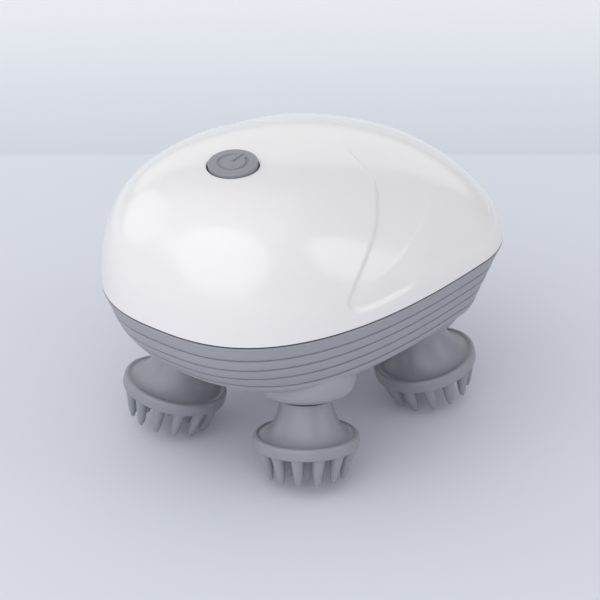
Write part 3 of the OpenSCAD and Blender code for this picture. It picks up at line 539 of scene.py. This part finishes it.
def cover_skin():
    """The outer skin, less a block of grid cells round the button: points, faces and the block's edge."""
    g = dome_grid(ROWS, COLS)
    rows, cols = g.shape[0], g.shape[1]
    flat = g.reshape(-1, 3)
    flat = flat - grid_normals(g).reshape(-1, 3) * crease_depth(flat)[:, None]
    flat[:, 2] = np.maximum(flat[:, 2], SHELL_BOTTOM)
    room = HOLE_R + HOLE_ROOM
    near = (np.abs(g[:, :, 1] - BUTTON_Y) < room) & (np.abs(g[:, :, 0]) < room) & (g[:, :, 2] > SEAM_Z + 20)
    ks, js = np.where(near)
    k0, k1, j0, j1 = ks.min() - 1, ks.max() + 1, js.min() - 1, js.max() + 1
    faces = []
    for k in range(rows - 1):
        for j in range(cols - 1):
            a = k * cols + j
            if not (k0 <= k < k1 and j0 <= j < j1):
                faces.append((a, a + cols, a + cols + 1, a + 1))
    verts = [tuple(p) for p in flat]
    front, rear = add_ring(verts, [(0.0, FRONT_Y, SHELL_BOTTOM), (0.0, REAR_Y, SHELL_BOTTOM)])
    faces += [(front, j, j + 1) for j in range(cols - 1)]
    faces += [(rear, (rows - 1) * cols + j + 1, (rows - 1) * cols + j) for j in range(cols - 1)]
    loop = [(k0, j) for j in range(j0, j1)] + [(k, j1) for k in range(k0, k1)]
    loop += [(k1, j) for j in range(j1, j0, -1)] + [(k, j0) for k in range(k1, k0, -1)]
    rim = [k * cols for k in range(rows)] + [rear]
    rim += [k * cols + cols - 1 for k in range(rows - 1, -1, -1)] + [front]
    return verts, faces, [k * cols + j for k, j in loop], rim


def button_hole(verts, edge_ids):
    """Faces from the block's edge in to the hole, round its lip and down the collar."""
    edge = np.array([verts[i] for i in edge_ids])
    theta = np.arctan2(edge[:, 1] - BUTTON_Y, edge[:, 0])
    lip_r = HOLE_R + HOLE_LIP
    rings = [edge_ids]
    for t in np.linspace(0, 1, 9)[1:]:
        x = edge[:, 0] * (1 - t) + lip_r * np.cos(theta) * t
        y = edge[:, 1] * (1 - t) + (BUTTON_Y + lip_r * np.sin(theta)) * t
        rings.append(add_ring(verts, list(zip(x, y, dome_z(x, y)))))
    for a in np.linspace(0, math.pi / 2, 6)[1:]:
        r = HOLE_R + HOLE_LIP * (1 - math.sin(a))
        x, y = r * np.cos(theta), BUTTON_Y + r * np.sin(theta)
        rings.append(add_ring(verts, list(zip(x, y, dome_z(x, y) - HOLE_LIP * (1 - math.cos(a))))))
    x, y = HOLE_R * np.cos(theta), HOLE_R * np.sin(theta)
    for z in (HOLE_LEDGE_Z, COLLAR_Z):
        rings.append(add_ring(verts, moved(list(zip(x, y, np.full(len(x), z))), AT_BUTTON)))
    return [face for outer, inner in zip(rings, rings[1:]) for face in bridge(outer, inner, flip=True)]


def cover_rim(verts, rim):
    """Faces of the lower edge, and of the inner wall's foot above it."""
    rim_pts = np.array([verts[i] for i in rim])
    tangent = np.roll(rim_pts, -1, axis=0) - np.roll(rim_pts, 1, axis=0)
    inward = np.column_stack([-tangent[:, 1], tangent[:, 0]])
    inward /= np.maximum(np.linalg.norm(inward, axis=1), 1e-9)[:, None]
    faces, previous = [], rim
    for inset, rise in [(0.15, -0.02), (WALL - 0.2, -0.02), (WALL, 0.2), (WALL + 0.1, 2.5)]:
        ring = add_ring(verts, [(p[0] + v[0] * inset, p[1] + v[1] * inset, SHELL_BOTTOM + rise)
                                for p, v in zip(rim_pts, inward)])
        faces += bridge(previous, ring)
        previous = ring
    return faces


def cover_lining(verts):
    """Faces of the inner skin, coarser than the outer one and open round the button's collar."""
    inner = dome_grid(60, 64, WALL)
    rows, cols = inner.shape[0], inner.shape[1]
    points = inner.reshape(-1, 3).copy()
    points[:, 2] = np.maximum(points[:, 2], SHELL_BOTTOM + 1.0)
    base = add_ring(verts, points)[0]
    faces = []
    for k in range(rows - 1):
        for j in range(cols - 1):
            x, y, z = points[k * cols + j]
            if abs(x) < HOLE_R + 1.0 and abs(y - BUTTON_Y) < HOLE_R + 1.5:
                continue
            a = base + k * cols + j
            faces.append((a, a + 1, a + cols + 1, a + cols))
    return faces


def cover_piece():
    verts, faces, hole_edge, rim = cover_skin()
    faces += button_hole(verts, hole_edge)
    faces += cover_rim(verts, rim)
    faces += cover_lining(verts)
    obj = make_mesh("cover_shell", verts, faces, 50.0)
    return finish_piece(obj, "cover_plastic", "housing", "top_cover")


cover_piece()

# ---------------- power button: domed cap with an engraved power sign
BUTTON_PROUD, BUTTON_CROWN, EDGE_DROP = 0.9, 0.25, 0.18
SIGN_DEPTH = 0.4
RING_R, RING_HALF, RING_GAP = 3.95, 0.4, 1.35
BAR_LENGTH, BAR_HALF = 5.0, 0.36
FACE_R = 6.3
CAP_BOTTOM = BUTTON_PROUD - 3.4
STEM_R, FOOT_R, FOOT_TOP, FOOT_BOTTOM = 1.9, 3.2, -7.1, -7.8


def sign_depth(x, y):
    """Share of the sign's depth: an open ring and a bar that points to the rear."""
    ring = RING_HALF - np.abs(np.hypot(x, y) - RING_R)
    gap = np.abs(x) - RING_GAP
    ring = np.where((y > 0) & (gap < 0.0), np.minimum(ring, gap), ring)
    bar = np.minimum(BAR_HALF - np.abs(x), np.minimum(y, BAR_LENGTH - y))
    return smooth(np.maximum(ring, bar) / 0.22 + 0.35)


def cap_top(r):
    return BUTTON_PROUD - EDGE_DROP + BUTTON_CROWN * (1 - (r / BUTTON_R) ** 2)


def button_piece():
    count, face_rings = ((288, 86))
    ang = np.arange(count) * 2 * math.pi / count
    profile = [(r, cap_top(r)) for r in np.linspace(0.08, FACE_R, face_rings)]
    edge = rounded([
        (FACE_R, cap_top(FACE_R)), (BUTTON_R, cap_top(BUTTON_R), 0.55), (BUTTON_R, CAP_BOTTOM, 0.2),
        (STEM_R, CAP_BOTTOM), (STEM_R, FOOT_TOP), (FOOT_R, FOOT_TOP, 0.1), (FOOT_R, FOOT_BOTTOM, 0.15),
        (1.0, FOOT_BOTTOM)], 7)
    profile += [tuple(p) for p in edge[1:]]
    verts = [(0, 0, cap_top(0.0) - SIGN_DEPTH * float(sign_depth(np.array(0.0), np.array(0.0))))]
    for r, z in profile:
        x, y = r * np.cos(ang), r * np.sin(ang)
        engraved = r < FACE_R - 0.1 and z > 0
        dz = SIGN_DEPTH * sign_depth(x, y) if engraved else np.zeros(count)
        verts += list(zip(x, y, z - dz))
    faces = [(0, 1 + c, 1 + (c + 1) % count) for c in range(count)]
    faces += grid_faces(len(profile), count, True, 1, flip=True)
    last = 1 + (len(profile) - 1) * count
    verts.append((0.0, 0.0, FOOT_BOTTOM))
    faces += [(len(verts) - 1, last + (c + 1) % count, last + c) for c in range(count)]
    obj = make_mesh("button_cap", moved(verts, AT_BUTTON), faces, 50.0)
    return finish_piece(obj, "button_plastic", "button", "power_button")


button_piece()

# ---------------- lower housing: ribbed band and bowl
LEAN_DEG = 21.3
LEAN = math.tan(math.radians(LEAN_DEG))
GROOVE_FIRST, GROOVE_STEP, GROOVES = 5.25, 3.95, 4
GROOVE_HALF, BAND_CROWN = 0.42, 0.08
STRIP_D = GROOVE_FIRST + (GROOVES - 1) * GROOVE_STEP + 0.45
CURVE_D, CURVE_IN = 17.6, 9.3
TOP_ROUNDING = [(0.0, 0.35), (0.1, 0.14), (0.35, 0.06)]
GROOVE_SHAPE = [(-GROOVE_HALF, 0.0), (-0.34, 0.08), (-0.27, 0.4), (-0.18, 0.68), (0.06, 0.7), (0.2, 0.5),
                (0.33, 0.1), (GROOVE_HALF, 0.0)]


def band_profile():
    """(depth below the seam, inset) down the outside: crowned bands between grooves, then the bowl."""
    pts = [(GASKET_T / 2 + down, inset) for down, inset in TOP_ROUNDING]
    start = pts[-1][0]
    for k in range(GROOVES):
        middle = GROOVE_FIRST + k * GROOVE_STEP
        for t in np.linspace(0, 1, 9)[1:-1]:
            d = start + (middle - GROOVE_HALF - start) * t
            pts.append((d, LEAN * d - BAND_CROWN * math.sin(math.pi * t)))
        pts += [(middle + down, LEAN * (middle + down) + deep) for down, deep in GROOVE_SHAPE]
        start = middle + GROOVE_HALF
    for a in np.linspace(0, math.pi / 2, 22)[1:]:
        down = (BOWL_DEPTH - CURVE_D) * math.sin(a)
        pts.append((CURVE_D + down, LEAN * CURVE_D + CURVE_IN * (1 - math.cos(a))))
    return pts


def outline_rings(profile, count):
    """Points of the outline at each (depth, inset) of a profile."""
    verts = []
    for d, inset in profile:
        verts += [(x, y, SEAM_Z - d) for x, y in outline(inset, count, nose_at(d))]
    return verts


def housing_piece():
    count = 288
    profile = band_profile()
    verts = outline_rings(profile, count)
    bottom = np.array(verts[-count:])
    floor_shares = (0.85, 0.6, 0.3)
    for s in floor_shares:
        verts += [(x * s, TRAIN_Y + (y - TRAIN_Y) * s, z) for x, y, z in bottom]
    rings = len(profile) + len(floor_shares)
    verts.append((0.0, TRAIN_Y, SEAM_Z - BOWL_DEPTH))
    tip, last = len(verts) - 1, (rings - 1) * count
    faces = grid_faces(rings, count, True, 0, flip=True)
    faces += [(tip, last + (c + 1) % count, last + c) for c in range(count)]
    # top rim, tongue and inner wall
    tongue_in, wall_in, tongue_up = WALL + 0.5, WALL + 1.7, 1.3
    inner = [(GASKET_T / 2, TOP_ROUNDING[0][1]), (GASKET_T / 2, tongue_in), (-tongue_up, tongue_in),
             (-tongue_up, wall_in), (3.0, wall_in)]
    inner_d, inner_in = STRIP_D - 1, LEAN * STRIP_D + WALL
    for a in np.linspace(0, math.pi / 2, 8):
        down = (BOWL_DEPTH - WALL - inner_d) * math.sin(a)
        inner.append((inner_d + down, inner_in + (CURVE_IN - 0.6) * (1 - math.cos(a))))
    base = len(verts)
    verts += outline_rings(inner, count)
    faces += grid_faces(len(inner), count, True, base)
    faces.append(tuple(base + (len(inner) - 1) * count + c for c in range(count)))
    # join the outer top edge to the rim
    faces += [(c, (c + 1) % count, base + (c + 1) % count, base + c) for c in range(count)]
    return make_mesh("housing_shell", verts, faces, 40.0)


housing = housing_piece()

# ---------------- places of the four heads
SPLAY = 12.0
PIN_DROP, TIP_RING = 8.0, 10.8
RIM_Z = PIN_DROP * math.cos(math.radians(SPLAY)) + TIP_RING * math.sin(math.radians(SPLAY)) + 0.9
HEAD_X, HEAD_Y = 24.0, 28.2
CORNERS = {"front_right": (1, -1), "front_left": (-1, -1), "rear_right": (1, 1), "rear_left": (-1, 1)}
PAD_TURN = {"front_right": 180.0, "front_left": 171.0, "rear_right": 177.0, "rear_left": 180.0}


def head_matrix(name):
    cx, cy = CORNERS[name]
    x, y = cx * HEAD_X, cy * HEAD_Y
    return shift(x, TRAIN_Y + y, RIM_Z) @ rot("z", math.degrees(math.atan2(y, x))) @ rot("y", -SPLAY)


# ---------------- cuts in the housing: screw holes, legs and the charging port
def cut(target, tools):
    """Takes the tools out of the target and deletes them."""
    for tool in tools:
        mod = target.modifiers.new("cut", "BOOLEAN")
        mod.operation = "DIFFERENCE"
        mod.solver = "EXACT"
        mod.object = tool
    bpy.context.view_layer.update()
    depsgraph = bpy.context.evaluated_depsgraph_get()
    mesh = bpy.data.meshes.new_from_object(target.evaluated_get(depsgraph))
    target.modifiers.clear()
    old = target.data
    target.data = mesh
    mesh.name = old.name
    bpy.data.meshes.remove(old)
    for tool in tools:
        bpy.data.objects.remove(tool)


def cylinder_part(radius, z0, z1, matrix, count=48):
    v, f = lathe([(0, z0), (radius, z0), (radius, z1), (0, z1)], count)
    return moved(v, matrix), f


PORT_Z = 44.5
PORT_Y = REAR_Y - (SEAM_Z - PORT_Z) * LEAN
AT_PORT = shift(0, PORT_Y, PORT_Z) @ rot("x", -90 - LEAN_DEG)
FLAP_R, POCKET_Z, SOCKET_R = 6.2, -1.8, 4.05
SCREW_X, FRONT_SCREW_Y, REAR_SCREW_Y = 13, -42, 45
SCREW_SPOTS = [(sx * SCREW_X, y) for y in (FRONT_SCREW_Y, REAR_SCREW_Y) for sx in (1, -1)]
SCREW_HOLE_R, SCREW_POST_R, SCREW_SEAT_Z = 2.9, 4.0, SEAM_Z - 9.0
BOX_FACES = [(0, 1, 3, 2), (4, 6, 7, 5), (0, 4, 5, 1), (2, 3, 7, 6), (0, 2, 6, 4), (1, 5, 7, 3)]

holes = [cylinder_part(SCREW_HOLE_R, 25.0, SCREW_SEAT_Z, shift(x, y, 0), 40) for x, y in SCREW_SPOTS]
holes += [cylinder_part(6.2, 12.0, 30.0, head_matrix(name), 64) for name in CORNERS]
holes.append(cylinder_part(FLAP_R + 0.2, POCKET_Z, 6.0, AT_PORT, 72))
tool_objs = [make_mesh("cut_%d" % i, v, f) for i, (v, f) in enumerate(holes)]
slot_sides = (FLAP_R - 1.0, FLAP_R + 1.6)
slot_corners = [(x, y, z) for x in (-FLAP_R, FLAP_R) for y in slot_sides for z in (POCKET_Z, 5.0)]
tool_objs.append(make_mesh("cut_slot", moved(slot_corners, AT_PORT), BOX_FACES))
cut(housing, tool_objs)
shade(housing, 40.0)
finish_piece(housing, "housing_plastic", "housing", "lower_housing")

# ---------------- screw columns, port boss and leg cups, in and under the housing's shell
LEG_R = 7.5
NECK_TOP = 13.8
LEG_END = NECK_TOP + 0.5
LEG_BORE, BUSH_R, CUP_TOP = 5.05, 3.3, 9.3


def tube_wall(r_out, r_in, z0, z1, matrix, count=48):
    prof = rounded([(r_in, z0), (r_in, z1, 0), (r_out, z1, 0), (r_out, z0, 0), (r_in, z0)], 1)
    v, f = lathe(prof[::-1], count)
    return moved(v, matrix), f


columns = []
for x, y in SCREW_SPOTS:
    spot = shift(x, y, 0)
    columns.append(tube_wall(SCREW_POST_R, SCREW_HOLE_R, SEAM_Z - BOWL_DEPTH + 2.1, SCREW_SEAT_Z, spot))
    columns.append(tube_wall(SCREW_POST_R, 1.5, SCREW_SEAT_Z, SEAM_Z - 1.4, spot))
columns.append(tube_wall(FLAP_R + 1.6, SOCKET_R, -12.0, POCKET_Z, AT_PORT, 72))
finish_piece(make_mesh("housing_columns", *join(columns), 40.0), "housing_plastic", "housing")

cup_line = curve_through([
    (LEG_R + 0.35, 0.03), (LEG_R + 1.5, 0.48), (LEG_R + 3.0, 0.98), (LEG_R + 4.2, 1.45), (LEG_R + 5.2, 2.1),
    (LEG_R + 6.0, 3.2), (LEG_R + 6.5, 4.7), (LEG_R + 6.85, 6.6), (LEG_R + 7.0, CUP_TOP)], 5)
cup_inner = [
    (LEG_R + 6.6, CUP_TOP), (LEG_BORE + 0.15, CUP_TOP), (LEG_BORE, 2.2), (LEG_BORE, 0.4), (BUSH_R, 0.4),
    (BUSH_R, 0.12), (BUSH_R + 0.12, 0.0), (LEG_R, 0.0), (LEG_R + 0.15, 0.0), (LEG_R + 0.35, 0.02)]
for name in CORNERS:
    profile = [(r, z + LEG_END) for r, z in list(cup_line) + cup_inner]
    v, f = lathe(profile, 128)
    cup = make_mesh("leg_cup_" + name, moved(v, head_matrix(name)), f, 40.0)
    finish_piece(cup, "housing_plastic", "housing")

# ---------------- massage heads: hubs and pads with pins
RIM_R = 14.9
PAD_R = RIM_R - 0.9
NECK_R, SPINDLE_R = 7.3, 3.02
hub_outer = curve_through([
    (RIM_R - 0.35, 0.0), (RIM_R - 0.08, 0.2), (RIM_R, 0.7), (RIM_R, 1.7), (RIM_R - 0.02, 2.6),
    (RIM_R - 0.2, 3.2), (RIM_R - 0.6, 3.55), (RIM_R - 1.1, 3.6), (RIM_R - 1.7, 3.46), (RIM_R - 2.3, 3.55),
    (RIM_R - 3.2, 4.0), (RIM_R - 4.2, 4.9), (RIM_R - 5.15, 6.15), (RIM_R - 6.0, 7.7), (RIM_R - 6.7, 9.3),
    (RIM_R - 7.2, 10.9), (NECK_R + 0.12, 12.2)], 5)
hub_neck = rounded([(NECK_R, 12.6), (NECK_R - 0.02, NECK_TOP, 0.35), (SPINDLE_R, NECK_TOP)], 5)
hub_profile = [(0.0, 1.6), (PAD_R + 0.05, 1.6), (PAD_R + 0.05, 0.15), (PAD_R + 0.18, 0.0)]
hub_profile += [tuple(p) for p in [*hub_outer, *hub_neck]]
hub_profile += [(SPINDLE_R, 3.4), (0.0, 3.4)]
OUTER_PINS, INNER_PINS = 13, 7
PIN_LEAN, PIN_TIP_R, PIN_ROOT_R = 11.0, 0.62, 2.0
INNER_RING, INNER_REACH = 6.2, 0.6
PAD_BOTTOM, PAD_TOP = -0.28, 1.55


def pin_profile(length):
    """(r, z) of one soft pin, from its rounded tip up to its root in the pad."""
    low = -length - 0.9
    pts = [(0.0, low)]
    for a in np.radians(np.linspace(0, 75, 7)[1:]):
        pts.append((PIN_TIP_R * math.sin(a), low + PIN_TIP_R * (1 - math.cos(a))))
    for t in (0.2, 0.35, 0.5, 0.65, 0.8, 0.92):
        pts.append((0.5 + 1.42 * t ** 0.62, low * (1 - t)))
    return pts + [(PIN_ROOT_R, -0.12), (PIN_ROOT_R, 0.6)]


def pad_parts(turn):
    """The pad's disc, the leaning outer pins, the inner ring and the middle pin."""
    lean = math.radians(PIN_LEAN)
    root_r = TIP_RING + PIN_DROP * math.tan(lean)
    disc = rounded([(11.0, PAD_BOTTOM), (PAD_R - 0.02, PAD_BOTTOM, 0.15), (PAD_R - 0.02, PAD_TOP)], 5)
    disc = [(0.0, PAD_BOTTOM), (11.0, PAD_BOTTOM)] + [tuple(p) for p in disc[1:]] + [(0.0, PAD_TOP)]
    parts = [lathe(disc, 128)]
    outer = lathe(pin_profile(PIN_DROP / math.cos(lean)), 28)
    inner = lathe(pin_profile(PIN_DROP - INNER_REACH), 24)
    for k in range(OUTER_PINS):
        m = rot("z", turn + 360 * k / OUTER_PINS) @ shift(root_r, 0, 0) @ rot("y", PIN_LEAN)
        parts.append((moved(outer[0], m), outer[1]))
    for k in range(INNER_PINS):
        m = rot("z", turn + 360 * (k + 0.5) / INNER_PINS) @ shift(INNER_RING, 0, 0)
        parts.append((moved(inner[0], m), inner[1]))
    return parts + [inner]


for name in CORNERS:
    m = head_matrix(name)
    v, f = lathe(hub_profile, 128)
    hub = make_mesh("hub_" + name, moved(v, m), f, 40.0)
    finish_piece(hub, "head_plastic", "head_" + name, "head_hub_" + name)
    v, f = join(pad_parts(PAD_TURN[name]))
    pad = make_mesh("pad_" + name, moved(v, m), f, 40.0)
    finish_piece(pad, "pad_silicone", "head_" + name, "pin_pad_" + name)

# ---------------- camera, paper and lights
SENSOR_MM = 36.0
camera_data = bpy.data.cameras.new("camera")
camera_data.sensor_width = SENSOR_MM
camera_data.lens = FOCAL_PX / PHOTO_SIDE * SENSOR_MM
camera_data.clip_end = 20
camera = bpy.data.objects.new("camera", camera_data)
bpy.context.scene.collection.objects.link(camera)
camera_turn = Matrix(np.column_stack([RIGHT, UP, BACK]).tolist()).to_quaternion()
camera.matrix_world = Matrix.LocRotScale(Vector(CAMERA_AT * MM), camera_turn, None)
bpy.context.scene.camera = camera

# paper colours by the distance ahead of the object, in metres; the pale background begins at 164.6 mm. From
# there on the colours are painted light and shade of an upright wall: the darker band at its foot is painted
# corner shade, and the brightening further on is painted light falling on the wall.
PAPER_AND_PAINTED_WALL_LIGHT = [(0.05, (221, 224, 234)), (0.155, (224, 228, 237)), (0.164, (225, 229, 238)),
         (0.1652, (217, 222, 232)), (0.28, (244, 248, 253))]
PAPER_SCALE = 2.5
PAPER_HALF = 3000.0


def paper_sheet():
    """A flat sheet, turned to face the camera."""
    verts = []
    for d in (-PAPER_HALF, 0.0, PAPER_HALF):
        for s in (-PAPER_HALF, PAPER_HALF):
            verts.append((AHEAD[0] * d + RIGHT[0] * s, AHEAD[1] * d + RIGHT[1] * s, 0.0))
    return make_mesh("studio_floor", verts, [(0, 1, 3, 2), (2, 3, 5, 4)], 60.0)


def paper_material():
    """Matt paper whose colour changes with the distance ahead: the far part is painted as the background,
    with painted shade at its foot and painted light further on.
    """
    mat = plastic("studio_paper_painted_wall_light", linear(217, 220, 229), 0.8, specular=0.2)
    tree = mat.node_tree
    place = tree.nodes.new("ShaderNodeTexCoord")
    distance = tree.nodes.new("ShaderNodeVectorMath")
    distance.operation = "DOT_PRODUCT"
    distance.inputs[1].default_value = AHEAD
    scale = tree.nodes.new("ShaderNodeMath")
    scale.operation = "MULTIPLY"
    scale.inputs[1].default_value = PAPER_SCALE
    # the ramp paints the backdrop wall's corner shade and its light from above into the paper's colour
    ramp = tree.nodes.new("ShaderNodeValToRGB")
    for k, (metres, rgb) in enumerate(PAPER_AND_PAINTED_WALL_LIGHT):
        stop = ramp.color_ramp.elements[k] if k < 2 else ramp.color_ramp.elements.new(1.0)
        stop.position = metres * PAPER_SCALE
        stop.color = (*linear(*rgb), 1.0)
    tree.links.new(place.outputs["Object"], distance.inputs[0])
    tree.links.new(distance.outputs["Value"], scale.inputs[0])
    tree.links.new(scale.outputs["Value"], ramp.inputs["Fac"])
    tree.links.new(ramp.outputs["Color"], tree.nodes["Principled BSDF"].inputs["Base Color"])
    return mat


floor = paper_sheet()
floor.data.materials.append(paper_material())


def area_light(name, direction_az, direction_el, distance, size_x, size_y, power, shape="ELLIPSE"):
    """A softbox that faces the object; angles in degrees, sizes in metres, power in watts."""
    data = bpy.data.lights.new(name, "AREA")
    data.shape = shape
    data.size, data.size_y = size_x, size_y
    data.energy = power
    obj = bpy.data.objects.new(name, data)
    bpy.context.scene.collection.objects.link(obj)
    a, e = math.radians(direction_az), math.radians(direction_el)
    d = Vector((math.sin(a) * math.cos(e), -math.cos(a) * math.cos(e), math.sin(e)))
    obj.location = Vector((0.0, 0.0, 0.05)) + d * distance
    obj.rotation_euler = d.to_track_quat("Z", "Y").to_euler()


area_light("key_softbox", 10, 33, 1.2, 2.2, 2.1, 9.8)
area_light("top_softbox", -40, 84, 1.4, 2.0, 2.0, 2.7, "RECTANGLE")
area_light("left_softbox", -72, 24, 1.5, 1.4, 1.2, 2.6)
area_light("right_softbox", 110, 20, 1.1, 0.56, 0.96, 1.25)
area_light("back_softbox", 218, 16, 1.9, 3.0, 1.0, 3.2)

world = bpy.data.worlds.new("studio")
bpy.context.scene.world = world
world.use_nodes = True
world.node_tree.nodes["Background"].inputs["Color"].default_value = (0.98, 0.985, 1.0, 1.0)
world.node_tree.nodes["Background"].inputs["Strength"].default_value = 0.56

bpy.context.scene.view_settings.view_transform = "Standard"
